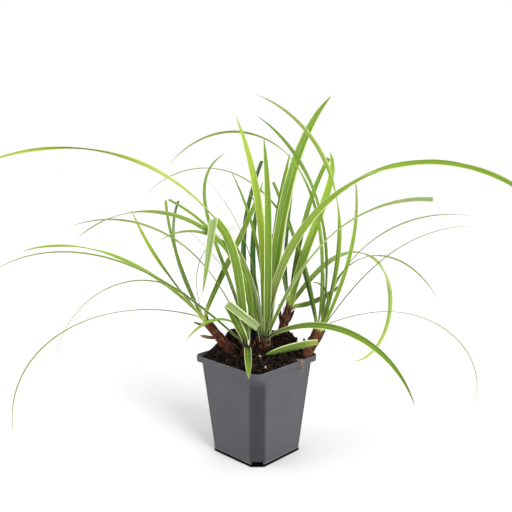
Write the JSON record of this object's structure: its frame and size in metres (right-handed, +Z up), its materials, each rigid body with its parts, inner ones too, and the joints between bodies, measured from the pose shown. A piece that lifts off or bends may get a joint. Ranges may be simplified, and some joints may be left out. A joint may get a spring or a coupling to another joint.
{
  "type": "potted carex sedge",
  "caption": "Variegated ornamental grass with arching strap leaves growing from brown sheaths in a square tapered nursery pot filled with soil.",
  "frame": {"origin": "centre of the underside of the pot, on the surface it stands on", "axes": "+Z up, out of the pot; +X and +Y square to the pot's sides. The plant's fullest spread runs close to the pot's diagonal, 44 degrees from +X towards +Y"},
  "size_m": [0.4499, 0.4483, 0.3602],
  "materials": {
    "pot": "charcoal moulded plastic, faintly ribbed by the tool, with a soft sheen",
    "soil": "damp peat and bark, crumbly, with tan fibres",
    "sheath": "dry papery red-brown leaf sheath with straw edges",
    "leaves": "green strap leaf with fine long veins, cream edges on the young ones, half glossy"
  },
  "bodies": {
    "root": {"pot": "pot", "soil": "soil", "left_sheath": "sheath", "left_leaves": "leaves", "front_sheath": "sheath", "front_leaves": "leaves", "centre_sheath": "sheath", "centre_leaves": "leaves", "back_sheath": "sheath", "back_leaves": "leaves", "right_sheath": "sheath", "right_leaves": "leaves", "right_low_leaf": "leaves"}
  },
  "joints": []
}
